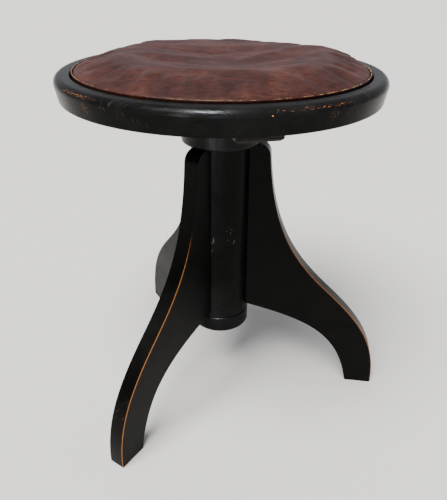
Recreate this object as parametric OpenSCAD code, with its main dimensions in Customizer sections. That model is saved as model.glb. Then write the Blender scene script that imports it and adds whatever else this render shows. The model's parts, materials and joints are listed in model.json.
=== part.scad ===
// Revolving piano stool: a padded round seat on a threaded spindle, in a turned
// column that stands on three sawn board legs. Millimetres, +Z up, origin on the
// column's axis at floor level, -Y towards the front.

/* [Seat] */
// Diameter of the turned seat
seat_d = 383; // [300:1:470]
// Height of the seat's rim above the floor with the spindle screwed right down
seat_h = 452; // [370:1:560]
// Thickness of the turned seat
dish_t = 27; // [22:0.5:34]
// Width of the rim around the pad
rim_w = 18.5; // [12:0.5:26]
// Depth of the recess that holds the pad
recess_depth = 15; // [13:0.5:18]
// Rounding of the rim's upper outer edge
rim_round = 8.5; // [4:0.5:9.5]
// How far the seat's side draws in towards its lower edge
side_taper = 3; // [0:0.5:6]

/* [Pad] */
// Gap between the pad's side and the rim
pad_gap = 1.5; // [0.5:0.1:3]
// Thickness of the leather
leather_t = 2; // [1:0.1:3]
// Thickness of the pad's board
pad_board_t = 7; // [4:0.5:9]
// How far the pad's edge stands above the rim
pad_proud = 2.2; // [1:0.1:8]
// Rise of the pad from its edge to its middle
crown_h = 17; // [6:0.5:24]
// Rounding of the pad's upper edge
pad_round = 4; // [2:0.5:8]
// Width of the leather turned under the board
turn_under = 33; // [26:1:45]
// Number of tacks that hold the leather
tack_count = 28; // [12:1:40]
// Diameter of a tack's head
tack_head_d = 8; // [5:0.5:10]
// Circle of the screws that hold the pad down, measured in from the seat's edge
pad_screw_inset = 80; // [70:1:100]

/* [Batten and spindle] */
// Width of the batten under the seat
batten_w = 50; // [40:1:70]
// Thickness of the batten
batten_t = 16; // [14:0.5:24]
// Distance from the batten's ends to the seat's edge
batten_inset = 37; // [25:1:60]
// Chamfer along the batten's lower edges
batten_chamfer = 3; // [1:0.5:6]
// Length of the iron plate on top of the spindle
plate_l = 112; // [90:1:150]
// Thickness of that plate
plate_t = 5; // [3:0.5:8]
// Diameter of the spindle over its thread
spindle_d = 26; // [18:0.5:34]
// Rise of the seat for one turn
thread_pitch = 6; // [4:0.5:8]
// Number of turns from the lowest to the highest seat
turns = 18; // [8:1:20]

/* [Column] */
// Diameter of the column under its cap
column_top_d = 77; // [64:0.5:100]
// Diameter of the column at its foot
column_foot_d = 81; // [66:0.5:104]
// Height of the column's foot above the floor
column_clear = 93; // [60:1:115]
// Height of the cap
cap_h = 33; // [24:0.5:45]
// How far the cap stands out around the column
cap_overhang = 11.5; // [6:0.5:20]
// Height of the scored line above the column's foot
score_up = 24; // [10:0.5:40]

/* [Legs] */
// Distance from the column's axis to the outer end of a foot
leg_reach = 233; // [190:1:280]
// Thickness of the leg boards
leg_t = 21; // [16:0.5:26]
// Length of a foot where it rests on the floor
foot_l = 38; // [28:1:50]
// How far a leg stands out from the top of the column
leg_proud = 25; // [18:0.5:34]
// Rounding of a leg's upper corner
leg_round = 15; // [6:0.5:17]
// Height at which a leg's lower edge meets the column
root_h = 126.5; // [105:0.5:150]
// Distance of the leg's outward sweep from its foot
sweep_in = 82; // [60:1:100]
// Height of that sweep above the floor
sweep_h = 159.5; // [130:0.5:180]

/* [Hidden] */
$fn = 96;

// Directions that the legs point in, as their housings were cut by hand
RIGHT_AZ = -8;
LEFT_AZ = -124;
REAR_AZ = 120;
LEG_AZ = [RIGHT_AZ, LEFT_AZ, REAR_AZ];
// Direction of the batten with the seat at rest
BATTEN_AZ = -76;

// Clearances
REST_GAP = 1.5;
RUN_GAP = 0.05;
END_GAP = 0.3;
BORE_GAP = 1;
CUT = 1;

// Heights, from the seat's rim down
z_dish = seat_h - dish_t;
z_recess = seat_h - recess_depth;
z_board = z_recess + leather_t;
z_stuffing = z_board + pad_board_t;
z_pad_edge = seat_h + pad_proud;
z_batten = z_dish - batten_t;
z_plate = z_batten - plate_t;
z_nut = z_plate - REST_GAP;
nut_flange_t = 4;
z_cap_top = z_nut - nut_flange_t;
z_cap = z_cap_top - cap_h;

// Seat and pad
seat_r = seat_d / 2;
recess_r = seat_r - rim_w;
pad_r = recess_r - pad_gap;
board_r = pad_r - leather_t;
hem_r = pad_r - turn_under;
edge_break = 2;
tack_head_h = 1;
tack_shank_d = 1.6;
tack_r = (hem_r + board_r) / 2;
tack_l = leather_t + pad_board_t - 1;
dome_steps = 20;
groove_w = tack_head_d + 4;
groove_depth = tack_head_h + 0.5;
pad_screw_r = seat_r - pad_screw_inset;
pad_screw_count = 4;

// Screws, each as its length, its shank's diameter and its head's diameter
pad_screw = [dish_t - recess_depth + leather_t + pad_board_t - 2, 4, 7.5];
batten_screw = [batten_t + 8, 4.5, 8.5];
plate_screw = [plate_t + batten_t + 6, 5, 9.5];
nut_screw = [22, 4, 7.5];
cap_screw = [cap_h + 24, 5, 9];
batten_screw_in = 20;

// Spindle, nut and stop
spindle_r = spindle_d / 2;
neck_r = spindle_r - 4;
nut_wall = 7;
nut_r = spindle_r + nut_wall;
nut_sink = 3;
nut_l = nut_flange_t + cap_h + nut_sink;
nut_lip = 14;
nut_flange_r = nut_r + nut_lip;
nut_screw_r = nut_r + nut_lip / 2;
washer_t = 3;
washer_r = spindle_r + 3;
lift = thread_pitch * turns;
z_spindle_end = z_nut - nut_l - lift - washer_t - BORE_GAP;
stop_shoulder_r = 5;
stop_head_r = 9;
stop_head_h = 5;
stop_shoulder_l = washer_t + 2 * END_GAP;
stop_stem_r = stop_shoulder_r - 1;
stop_stem_l = 20;
stop_slot = 2;
z_stop = z_spindle_end - stop_shoulder_l - stop_head_h;
bore_r = washer_r + BORE_GAP;
bore_end_gap = 8;
z_bore = z_stop - bore_end_gap;
plate_w = batten_w - 4;
plate_round = 8;
plate_screw_in = 13;

// Column and cap
column_top_r = column_top_d / 2;
column_foot_r = column_foot_d / 2;
foot_round = 4;
score_depth = 1.2;
cap_r = column_top_r + cap_overhang;
cap_round = 3;
cap_screw_r = column_top_r - 8;

// Legs
bore_wall = 6;
tongue_r = bore_r + bore_wall;
leg_top_r = column_top_r + leg_proud;
foot_break = 2;
foot_in_r = leg_reach - foot_l;

// A leg's outer edge: its slope at the sweep and how long the curves keep to it and to their ends
sweep_r = leg_reach - sweep_in;
sweep_angle = 43;
sweep_pull = 64;
top_lean = 0.075;
top_pull = 103;

// The arch under a leg: how far it runs out level, and where it turns down to the foot
arch_run = 97.5;
arch_drop = 21.5;
knee_in = 18;
knee_h = 83;

// Dovetail on a leg's tongue
tail_l = 11;
tail_slope = 3;
CURVE_STEPS = 24;

// ---- curves ----

function unit(a) = [cos(a), sin(a)];
function bezier(p, t) = pow(1 - t, 3) * p[0] + 3 * pow(1 - t, 2) * t * p[1]
    + 3 * (1 - t) * t * t * p[2] + pow(t, 3) * p[3];
function curve(p, n = CURVE_STEPS) = [for (i = [0:n]) bezier(p, i / n)];
function arc(c, r, a0, a1, n = 8) = [for (i = [0:n]) c + r * unit(a0 + (a1 - a0) * i / n)];

// ---- screws ----

// The outside of a countersunk wood screw, head up, with its head's face at z = 0
module screw_body(size) {
    l = size[0];
    shank_r = size[1] / 2;
    head_r = size[2] / 2;
    head_h = head_r - shank_r;
    point_h = 3 * shank_r;
    blunt_r = 0.2;
    rotate_extrude() polygon([[0, 0], [head_r, 0], [shank_r, -head_h], [shank_r, point_h - l],
        [blunt_r, -l], [0, -l]]);
}

// The same screw with the slot in its head
module wood_screw(size) {
    head_d = size[2];
    slot = head_d / 8;
    color("dimgray") difference() {
        screw_body(size);
        translate([-head_d, -slot / 2, -slot]) cube([2 * head_d, slot, slot + CUT]);
    }
}

// Places of each group of screws; a child is drawn at every one
module at_cap_screws() {
    for (a = [(RIGHT_AZ + REAR_AZ) / 2, (LEFT_AZ + RIGHT_AZ) / 2, (REAR_AZ + LEFT_AZ + 360) / 2])
        rotate(a) translate([cap_screw_r, 0, z_cap_top]) children();
}

module at_nut_screws() {
    for (a = LEG_AZ)
        rotate(a) translate([nut_screw_r, 0, z_nut]) children();
}

module at_plate_screws() {
    rotate(BATTEN_AZ)
        for (x = [-1, 1], y = [-1, 1])
            translate([x * (plate_l / 2 - plate_screw_in), y * (plate_w / 2 - plate_screw_in), z_plate])
                mirror([0, 0, 1]) children();
}

module at_batten_screws() {
    rotate(BATTEN_AZ)
        for (x = [-1, 1], y = [-1, 1])
            translate([x * (seat_r - batten_inset - batten_screw_in), y * batten_w / 4, z_batten])
                mirror([0, 0, 1]) children();
}

module at_pad_screws() {
    for (i = [0:pad_screw_count - 1])
        rotate(BATTEN_AZ + (i + 0.5) * 360 / pad_screw_count) translate([pad_screw_r, 0, z_dish])
            mirror([0, 0, 1]) children();
}

// ---- base ----

// Solid shape of the turned column, before its bore and housings
module column_shape() {
    z_score = column_clear + score_up;
    taper = (column_foot_r - column_top_r) / (z_cap - column_clear);
    score_r = column_foot_r - taper * score_up;
    rotate_extrude() polygon(concat(
        [[0, column_clear]],
        arc([column_foot_r - foot_round, column_clear + foot_round], foot_round, -90, 0),
        [[score_r, z_score - score_depth], [score_r - score_depth, z_score], [score_r, z_score + score_depth],
            [column_top_r, z_cap], [0, z_cap]]));
}

module column() {
    color("#1b1917") difference() {
        column_shape();
        translate([0, 0, z_bore]) cylinder(r = bore_r, h = z_cap - z_bore + CUT);
        translate([0, 0, z_cap - nut_sink]) cylinder(r = nut_r, h = nut_sink + CUT);
        for (a = LEG_AZ)
            rotate(a) translate([0, 0, root_h]) linear_extrude(z_cap - root_h + CUT) polygon(leg_plan());
        at_cap_screws() screw_body(cap_screw);
    }
}

module column_cap() {
    color("#1b1917") difference() {
        rotate_extrude() polygon(concat(
            [[0, z_cap]],
            arc([cap_r - cap_round, z_cap + cap_round], cap_round, -90, 0),
            arc([cap_r - cap_round, z_cap_top - cap_round], cap_round, 0, 90),
            [[0, z_cap_top]]));
        translate([0, 0, z_cap - CUT]) cylinder(r = nut_r, h = cap_h + 2 * CUT);
        at_cap_screws() screw_body(cap_screw);
        at_nut_screws() screw_body(nut_screw);
    }
}

module cap_screws() { at_cap_screws() wood_screw(cap_screw); }

// Plan of a leg with its dovetailed tongue, which slides down a housing in the column
function leg_plan() =
    let (half = leg_t / 2, tail_r = tongue_r + tail_l)
    [[tongue_r, half], [tongue_r, -half], [tail_r, tail_slope - half], [tail_r, -half],
        [leg_reach + CUT, -half], [leg_reach + CUT, half], [tail_r, half], [tail_r, half - tail_slope]];

// Outline of a leg board: x is the distance from the column's axis, y is height
function leg_outline() =
    let (sweep = [sweep_r, sweep_h], way = unit(-sweep_angle),
        top = [leg_top_r, z_cap - leg_round])
    concat(
        [[tongue_r, root_h]],
        curve([[column_foot_r, root_h], [column_foot_r + arch_run, root_h - arch_drop],
            [foot_in_r - knee_in, knee_h], [foot_in_r, 0]]),
        arc([leg_reach - foot_break, foot_break], foot_break, -90, 0, 3),
        curve([[leg_reach, foot_break], [leg_reach, sweep_h / 2], sweep + sweep_pull * way, sweep]),
        curve([sweep, sweep - sweep_pull * way, top + top_pull * [top_lean, -1], top]),
        arc([leg_top_r - leg_round, z_cap - leg_round], leg_round, 0, 90),
        [[tongue_r, z_cap]]);

module leg(az) {
    color("#1b1917") rotate(az) intersection() {
        rotate([90, 0, 0]) translate([0, 0, -leg_t / 2]) linear_extrude(leg_t) polygon(leg_outline());
        linear_extrude(z_cap) polygon(leg_plan());
    }
}

module spindle_nut() {
    color("#3c3b3a") difference() {
        rotate_extrude() polygon([[0, z_nut - nut_l], [nut_r, z_nut - nut_l], [nut_r, z_cap_top],
            [nut_flange_r, z_cap_top], [nut_flange_r, z_nut - 1], [nut_flange_r - 1, z_nut], [0, z_nut]]);
        translate([0, 0, z_nut - nut_l - CUT]) cylinder(r = spindle_r + RUN_GAP, h = nut_l + 2 * CUT);
        at_nut_screws() screw_body(nut_screw);
    }
}

module nut_screws() { at_nut_screws() wood_screw(nut_screw); }

// ---- spindle ----

module stop_washer() {
    color("#6d6a66") translate([0, 0, z_spindle_end - END_GAP - washer_t]) difference() {
        cylinder(r = washer_r, h = washer_t);
        translate([0, 0, -CUT]) cylinder(r = stop_shoulder_r + RUN_GAP, h = washer_t + 2 * CUT);
    }
}

module spindle() {
    color("#55524e") difference() {
        rotate_extrude() polygon([[0, z_spindle_end], [spindle_r - 1, z_spindle_end],
            [spindle_r, z_spindle_end + 1], [spindle_r, z_plate], [neck_r, z_plate], [neck_r, z_batten],
            [0, z_batten]]);
        stop_stem();
    }
}

// Threaded end of the stop screw, which fills its hole in the spindle's foot
module stop_stem() {
    translate([0, 0, z_spindle_end]) cylinder(r = stop_stem_r, h = stop_stem_l);
}

module stop_screw() {
    color("dimgray") difference() {
        union() {
            translate([0, 0, z_stop]) cylinder(r = stop_head_r, h = stop_head_h);
            translate([0, 0, z_stop + stop_head_h]) cylinder(r = stop_shoulder_r, h = stop_shoulder_l);
            stop_stem();
        }
        translate([-stop_head_r - CUT, -stop_slot / 2, z_stop - CUT])
            cube([2 * (stop_head_r + CUT), stop_slot, stop_slot + CUT]);
    }
}

// ---- seat ----

module spindle_plate() {
    color("#3c3b3a") difference() {
        rotate(BATTEN_AZ) translate([0, 0, z_plate]) rounded_plate(plate_l, plate_w, plate_t, plate_round);
        translate([0, 0, z_plate - CUT]) cylinder(r = neck_r, h = plate_t + 2 * CUT);
        at_plate_screws() screw_body(plate_screw);
    }
}

// A flat plate with round corners, centred on the axis and standing on z = 0
module rounded_plate(l, w, t, r) {
    translate([-l / 2 + r, -w / 2, 0]) cube([l - 2 * r, w, t]);
    translate([-l / 2, -w / 2 + r, 0]) cube([l, w - 2 * r, t]);
    for (x = [-1, 1], y = [-1, 1])
        translate([x * (l / 2 - r), y * (w / 2 - r), 0]) cylinder(r = r, h = t);
}

module plate_screws() { at_plate_screws() wood_screw(plate_screw); }

// Outline of a batten's side or end, flat on top and chamfered below
function batten_outline(l) = [[-l / 2 + batten_chamfer, z_batten], [l / 2 - batten_chamfer, z_batten],
    [l / 2, z_batten + batten_chamfer], [l / 2, z_dish], [-l / 2, z_dish], [-l / 2, z_batten + batten_chamfer]];

module batten() {
    batten_l = seat_d - 2 * batten_inset;
    color("#2b1a14") difference() {
        rotate(BATTEN_AZ) intersection() {
            rotate([90, 0, 0]) translate([0, 0, -batten_w / 2])
                linear_extrude(batten_w) polygon(batten_outline(batten_l));
            rotate([90, 0, 90]) translate([0, 0, -batten_l / 2])
                linear_extrude(batten_l) polygon(batten_outline(batten_w));
        }
        at_plate_screws() screw_body(plate_screw);
        at_batten_screws() screw_body(batten_screw);
    }
}

module batten_screws() { at_batten_screws() wood_screw(batten_screw); }

module seat_dish() {
    low_r = seat_r - side_taper;
    color("#1b1917") difference() {
        rotate_extrude() polygon(concat(
            [[0, z_dish]],
            arc([low_r - edge_break, z_dish + edge_break], edge_break, -90, 0, 4),
            arc([seat_r - rim_round, seat_h - rim_round], rim_round, 0, 90),
            arc([recess_r + edge_break, seat_h - edge_break], edge_break, 90, 180, 4),
            [[recess_r, z_recess], [tack_r + groove_w / 2, z_recess],
                [tack_r + groove_w / 2, z_recess - groove_depth], [tack_r - groove_w / 2, z_recess - groove_depth],
                [tack_r - groove_w / 2, z_recess], [0, z_recess]]));
        at_plate_screws() screw_body(plate_screw);
        at_batten_screws() screw_body(batten_screw);
        at_pad_screws() screw_body(pad_screw);
    }
}

module pad_board() {
    color("burlywood") difference() {
        translate([0, 0, z_board]) cylinder(r = board_r, h = pad_board_t);
        at_pad_screws() screw_body(pad_screw);
        at_tacks() tack_shank();
    }
}

module pad_screws() { at_pad_screws() wood_screw(pad_screw); }

module at_tacks() {
    for (i = [0:tack_count - 1])
        rotate(i * 360 / tack_count) translate([tack_r, 0, z_recess]) children();
}

module tack_shank() {
    cylinder(d = tack_shank_d, h = tack_l, $fn = 16);
}

module leather_tacks() {
    color("dimgray") at_tacks() {
        tack_shank();
        translate([0, 0, -tack_head_h])
            cylinder(d1 = tack_head_d - 2, d2 = tack_head_d, h = tack_head_h, $fn = 24);
    }
}

// Upper outline of the pad from its side to its middle, drawn in by the skin's thickness
function dome(skin) =
    let (lean = 2 * atan(crown_h / (pad_r - pad_round)), edge_r = pad_r - pad_round * (1 - sin(lean)),
        ball = edge_r / sin(lean), mid = z_pad_edge - ball * cos(lean),
        c = [edge_r - pad_round * sin(lean), z_pad_edge - pad_round * cos(lean)])
    concat(
        arc(c, pad_round - skin, 0, 90 - lean),
        [for (i = [1:dome_steps]) [0, mid] + (ball - skin) * unit(90 - lean * (1 - i / dome_steps))]);

module pad_stuffing() {
    color("tan") rotate_extrude() polygon(concat([[0, z_stuffing], [board_r, z_stuffing]], dome(leather_t)));
}

module pad_leather() {
    color("#5b2b22") difference() {
        rotate_extrude() polygon(concat([[0, z_recess], [pad_r, z_recess]], dome(0)));
        rotate_extrude() polygon(concat([[0, z_board], [board_r, z_board]], dome(leather_t)));
        translate([0, 0, z_recess - CUT]) cylinder(r = hem_r, h = leather_t + 2 * CUT);
        at_tacks() tack_shank();
    }
}

column();
column_cap();
cap_screws();
leg(RIGHT_AZ);  // leg_right
leg(LEFT_AZ);  // leg_left
leg(REAR_AZ);  // leg_rear
spindle_nut();
nut_screws();
stop_washer();
spindle();
stop_screw();
spindle_plate();
plate_screws();
batten();
batten_screws();
seat_dish();
pad_board();
pad_screws();
leather_tacks();
pad_stuffing();
pad_leather();
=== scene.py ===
"""Looks of a revolving piano stool: worn black polish, a creased leather pad and oiled ironwork.

Lengths are in metres, in the stool's own frame: +Z up along the column's axis, the floor at
z = 0 and the front towards -Y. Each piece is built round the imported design.
"""
import json
import logging
import math
from dataclasses import dataclass, field
from enum import Enum
from typing import Any, Callable, ClassVar, Sequence

import bpy
import numpy as np
from mathutils import Matrix, Vector, noise

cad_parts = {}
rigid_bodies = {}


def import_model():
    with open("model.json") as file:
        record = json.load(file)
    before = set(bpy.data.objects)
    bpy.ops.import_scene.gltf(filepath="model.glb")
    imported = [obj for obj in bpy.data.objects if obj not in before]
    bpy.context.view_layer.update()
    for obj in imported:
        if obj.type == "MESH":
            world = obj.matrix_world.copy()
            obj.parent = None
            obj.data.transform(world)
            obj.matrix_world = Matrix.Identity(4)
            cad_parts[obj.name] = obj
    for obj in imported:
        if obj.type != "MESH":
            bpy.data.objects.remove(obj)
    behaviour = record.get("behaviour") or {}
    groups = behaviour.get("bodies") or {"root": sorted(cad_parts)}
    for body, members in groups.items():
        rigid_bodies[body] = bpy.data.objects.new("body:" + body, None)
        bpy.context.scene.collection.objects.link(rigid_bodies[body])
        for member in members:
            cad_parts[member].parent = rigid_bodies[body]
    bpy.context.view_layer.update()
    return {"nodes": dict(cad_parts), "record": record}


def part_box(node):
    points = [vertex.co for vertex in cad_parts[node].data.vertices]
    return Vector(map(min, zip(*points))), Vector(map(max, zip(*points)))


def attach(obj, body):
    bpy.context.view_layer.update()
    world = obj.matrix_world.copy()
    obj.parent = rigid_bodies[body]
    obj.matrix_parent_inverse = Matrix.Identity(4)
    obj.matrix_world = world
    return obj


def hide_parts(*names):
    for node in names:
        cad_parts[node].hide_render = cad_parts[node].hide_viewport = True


LOG = logging.getLogger("piano_stool")
MM = 0.001
MERGED = 1e-6
ARRIS = "arris"
Flat = tuple[float, float]
Point = tuple[float, float, float]
Colour = tuple[float, float, float, float]

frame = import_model()


class Body(Enum):
    """The three rigid bodies of the stool."""

    BASE = "base"
    LIFT = "lift"
    SEAT = "seat"


class Slot(Enum):
    """Material slots that the pieces made here use."""

    BLACK_WOOD = "black_wood"
    BATTEN_WOOD = "batten_wood"
    CAST_IRON = "cast_iron"
    SPINDLE_STEEL = "spindle_steel"
    LEATHER = "leather"


def smooth(low: float, high: float, value: float) -> float:
    """Smooth step.

    Args:
        low: value at which the step starts.
        high: value at which it ends.
        value: where it is read.

    Returns:
        0 before the step, 1 after it, and a smooth rise between.
    """
    share = min(1.0, max(0.0, (value - low) / (high - low)))
    return share * share * (3 - 2 * share)


def heading(degrees: float) -> Vector:
    """Level unit vector that points in an azimuth, counted from +X towards +Y."""
    turn = math.radians(degrees)
    return Vector((math.cos(turn), math.sin(turn), 0.0))


# ---- workbench: mesh operators -------------------------------------------------------


class Bench:
    """Operators on one piece at a time, as a modeller works."""

    FLAT = 0.4
    NARROW = 0.6

    @staticmethod
    def clear() -> None:
        """Deselect everything."""
        for item in bpy.context.view_layer.objects:
            item.select_set(False)

    @staticmethod
    def hold(piece: bpy.types.Object) -> None:
        """Make one piece the only selected and the active one.

        Args:
            piece: the piece.
        """
        Bench.clear()
        piece.select_set(True)
        bpy.context.view_layer.objects.active = piece

    @staticmethod
    def added(name: str) -> bpy.types.Object:
        """Name the primitive that was added last.

        Args:
            name: the piece's name.

        Returns:
            The piece.
        """
        piece = bpy.context.active_object
        piece.name = name
        piece.data.name = name
        return piece

    @staticmethod
    def edit(select: str = "VERT") -> None:
        """Go into edit mode with nothing selected.

        Args:
            select: what is picked, as VERT, EDGE or FACE.
        """
        bpy.ops.object.mode_set(mode="EDIT")
        bpy.ops.mesh.select_mode(type=select)
        bpy.ops.mesh.select_all(action="DESELECT")

    @staticmethod
    def done() -> None:
        """Go back to object mode."""
        bpy.ops.object.mode_set(mode="OBJECT")

    @staticmethod
    def pick(piece: bpy.types.Object, test: Callable[[bpy.types.MeshPolygon], bool]) -> None:
        """Select the faces that pass a test and go into edit mode.

        Args:
            piece: the piece.
            test: says whether a face is taken.
        """
        for part in (piece.data.vertices, piece.data.edges):
            for item in part:
                item.select = False
        for face in piece.data.polygons:
            face.select = test(face)
        bpy.ops.object.mode_set(mode="EDIT")
        bpy.ops.mesh.select_mode(type="FACE")

    @staticmethod
    def apply(piece: bpy.types.Object, kind: str, **values: Any) -> None:
        """Add a modifier, set it and apply it.

        Args:
            piece: the piece.
            kind: the modifier's type.
            **values: its settings.
        """
        Bench.hold(piece)
        modifier = piece.modifiers.new(kind.lower(), kind)
        for key, value in values.items():
            setattr(modifier, key, value)
        bpy.ops.object.modifier_apply(modifier=modifier.name)

    @staticmethod
    def settle(piece: bpy.types.Object) -> None:
        """Put a piece's place, turn and scale into its mesh."""
        Bench.hold(piece)
        bpy.ops.object.transform_apply(location=True, rotation=True, scale=True)

    @staticmethod
    def shade(piece: bpy.types.Object, degrees: float = 34.0) -> None:
        """Smooth shading that keeps edges sharper than an angle, with flat faces kept flat.

        Args:
            piece: the piece.
            degrees: the angle.
        """
        Bench.hold(piece)
        bpy.ops.object.shade_smooth_by_angle(angle=math.radians(degrees))
        Bench.apply(piece, "WEIGHTED_NORMAL", keep_sharp=True, weight=80)

    @staticmethod
    def whole() -> None:
        """Select the whole mesh in edit mode."""
        bpy.ops.mesh.select_all(action="SELECT")

    @staticmethod
    def from_design(node: str, name: str) -> bpy.types.Object:
        """A clean copy of a designed part, with its triangles merged into faces.

        Args:
            node: the part's name in the design.
            name: the new piece's name.

        Returns:
            The piece, which then has a mesh of its own.
        """
        mesh = frame["nodes"][node].data.copy()
        mesh.name = name
        mesh.materials.clear()
        piece = bpy.data.objects.new(name, mesh)
        bpy.context.scene.collection.objects.link(piece)
        Bench.hold(piece)
        bpy.ops.mesh.customdata_custom_splitnormals_clear()
        Bench.edit()
        Bench.whole()
        bpy.ops.mesh.remove_doubles(threshold=MERGED)
        bpy.ops.mesh.dissolve_limited(angle_limit=math.radians(Bench.FLAT))
        Bench.done()
        return piece

    @staticmethod
    def break_edges(piece: bpy.types.Object, width: float, sharp: float = 32.0, rows: int = 3) -> None:
        """Round every edge sharper than an angle, and mark the new faces as arris.

        Args:
            piece: the piece.
            width: the rounding's width.
            sharp: the angle in degrees.
            rows: rows of faces across the rounding.
        """
        Bench.hold(piece)
        Bench.edit("EDGE")
        bpy.ops.mesh.edges_select_sharp(sharpness=math.radians(sharp))
        bpy.ops.mesh.bevel(offset=width, segments=rows, affect="EDGES", clamp_overlap=True)
        bpy.ops.mesh.select_mode(type="FACE")
        Bench.done()
        marks = piece.data.attributes.new(ARRIS, "FLOAT", "FACE")
        points = piece.data.vertices
        for face in piece.data.polygons:
            girth = sum((points[a].co - points[b].co).length for a, b in face.edge_keys)
            narrow = face.area < Bench.NARROW * width * girth
            marks.data[face.index].value = 1.0 if face.select and narrow else 0.0


def place(piece: bpy.types.Object, body: Body, slot: Slot, *nodes: str) -> bpy.types.Object:
    """Let a finished piece ride on its body and stand for the design's parts.

    Args:
        piece: the piece.
        body: what it moves with.
        slot: the record's material slot; not used.
        *nodes: the parts that it stands for.

    Returns:
        The piece.
    """
    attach(piece, body.value)
    if nodes:
        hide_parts(*nodes)
    LOG.info("%s: %d faces on %s", piece.name, len(piece.data.polygons), body.value)
    return piece


def dress(piece: bpy.types.Object, material: bpy.types.Material) -> None:
    """Give a piece one material all over.

    Args:
        piece: the piece.
        material: its material.
    """
    if not piece.material_slots:
        piece.data.materials.append(material)
    for held in piece.material_slots:
        held.material = material


# ---- shading -------------------------------------------------------------------------


class Graph:
    """Short words for building a node tree."""

    def __init__(self, tree: bpy.types.NodeTree) -> None:
        """Start on a tree."""
        self.tree = tree

    def add(self, kind: str, **values: Any) -> bpy.types.Node:
        """Add a node.

        Args:
            kind: the node's type without its ShaderNode.
            **values: its properties.

        Returns:
            The node.
        """
        node = self.tree.nodes.new("ShaderNode" + kind)
        for key, value in values.items():
            setattr(node, key, value)
        return node

    def feed(self, node: bpy.types.Node, **inputs: Any) -> bpy.types.Node:
        """Link or set a node's inputs, named with _ for a blank.

        Args:
            node: the node.
            **inputs: a socket to link from, or a value, for each input.

        Returns:
            The node.
        """
        for key, value in inputs.items():
            name = key.replace("_", " ")
            socket = next(s for s in node.inputs if s.name == name and s.enabled)
            if isinstance(value, bpy.types.NodeSocket):
                self.join(value, socket)
            else:
                socket.default_value = value
        return node

    def join(self, source: bpy.types.NodeSocket, target: bpy.types.NodeSocket) -> None:
        """Link one socket to another."""
        self.tree.links.new(source, target)

    def math(self, operation: str, a: Any, b: Any = 0.0, clamp: bool = False) -> bpy.types.NodeSocket:
        """One sum on two numbers.

        Args:
            operation: the Math node's operation.
            a: the first number or socket.
            b: the second.
            clamp: whether the result is kept from 0 to 1.

        Returns:
            The result's socket.
        """
        node = self.add("Math", operation=operation, use_clamp=clamp)
        for socket, value in zip(node.inputs, (a, b)):
            if isinstance(value, bpy.types.NodeSocket):
                self.join(value, socket)
            else:
                socket.default_value = value
        return node.outputs[0]

    def plus(self, a: Any, b: Any, clamp: bool = False) -> bpy.types.NodeSocket:
        """The sum of two numbers."""
        return self.math("ADD", a, b, clamp)

    def times(self, a: Any, b: Any, clamp: bool = False) -> bpy.types.NodeSocket:
        """The product of two numbers."""
        return self.math("MULTIPLY", a, b, clamp)

    def span(self, value: Any, low: float, high: float, to_low: float = 0.0,
             to_high: float = 1.0) -> bpy.types.NodeSocket:
        """Map a value smoothly from one span to another.

        Args:
            value: the socket to read.
            low: start of the span that is read.
            high: its end.
            to_low: result at the start.
            to_high: result at the end.

        Returns:
            The result's socket.
        """
        node = self.add("MapRange", interpolation_type="SMOOTHSTEP", clamp=True)
        self.feed(node, Value=value, From_Min=low, From_Max=high, To_Min=to_low, To_Max=to_high)
        return node.outputs["Result"]

    def mix(self, share: Any, first: Any, second: Any) -> bpy.types.NodeSocket:
        """Mix two colours.

        Args:
            share: how much of the second is taken.
            first: a colour or socket.
            second: a colour or socket.

        Returns:
            The mixed colour's socket.
        """
        node = self.add("Mix", data_type="RGBA")
        for index, value in ((0, share), (6, first), (7, second)):
            if isinstance(value, bpy.types.NodeSocket):
                self.join(value, node.inputs[index])
            else:
                node.inputs[index].default_value = value
        return node.outputs[2]

    def noise(self, vector: Any, scale: Any, detail: float = 3.0, rough: float = 0.5,
              twist: float = 0.0) -> bpy.types.NodeSocket:
        """Noise from 0 to 1 in space.

        Args:
            vector: the coordinates' socket.
            scale: how fine it is.
            detail: how many finer layers it has.
            rough: how strong those layers are.
            twist: how far it is distorted.

        Returns:
            The noise's socket.
        """
        node = self.add("TexNoise")
        self.feed(node, Vector=vector, Scale=scale, Detail=detail, Roughness=rough, Distortion=twist)
        return node.outputs["Fac"]

    def parts(self, vector: Any) -> tuple[bpy.types.NodeSocket, ...]:
        """The X, Y and Z of some coordinates.

        Args:
            vector: the coordinates' socket.

        Returns:
            The three sockets.
        """
        node = self.add("SeparateXYZ")
        self.join(vector, node.inputs[0])
        return tuple(node.outputs)

    def bump(self, shader: bpy.types.Node, height: Any, strength: float, distance: float) -> None:
        """Give a shader a relief.

        Args:
            shader: the shader.
            height: the relief's socket.
            strength: how far the relief shows.
            distance: its depth.
        """
        node = self.add("Bump")
        self.feed(node, Height=height, Strength=strength, Distance=distance)
        self.feed(shader, Normal=node.outputs["Normal"])

    def turned(self, vector: Any, turn: Point = (0, 0, 0), scale: Point = (1, 1, 1)
               ) -> bpy.types.NodeSocket:
        """Turn and scale a pattern's coordinates.

        Args:
            vector: the coordinates' socket.
            turn: angles in degrees.
            scale: scale along each axis.

        Returns:
            The new coordinates' socket.
        """
        node = self.add("Mapping")
        angles = tuple(math.radians(a) for a in turn)
        self.feed(node, Vector=vector, Rotation=angles, Scale=scale)
        return node.outputs["Vector"]

    def rolled(self, vector: Any, radius: float, stretch: float) -> bpy.types.NodeSocket:
        """Coordinates unrolled from round the axis.

        Args:
            vector: the coordinates' socket.
            radius: distance from the axis at which lengths stay true.
            stretch: how far a pattern is drawn out round the axis.

        Returns:
            The new coordinates' socket.
        """
        x, y, z = self.parts(vector)
        turn = self.math("ARCTAN2", x, self.times(y, -1.0))
        flat = self.add("CombineXYZ")
        self.feed(flat, X=self.times(turn, radius / stretch), Y=z, Z=self.reach(x, y))
        return flat.outputs[0]

    def reach(self, x: Any, y: Any) -> bpy.types.NodeSocket:
        """Distance from the stool's axis."""
        return self.math("SQRT", self.plus(self.math("POWER", x, 2.0), self.math("POWER", y, 2.0)))

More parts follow.
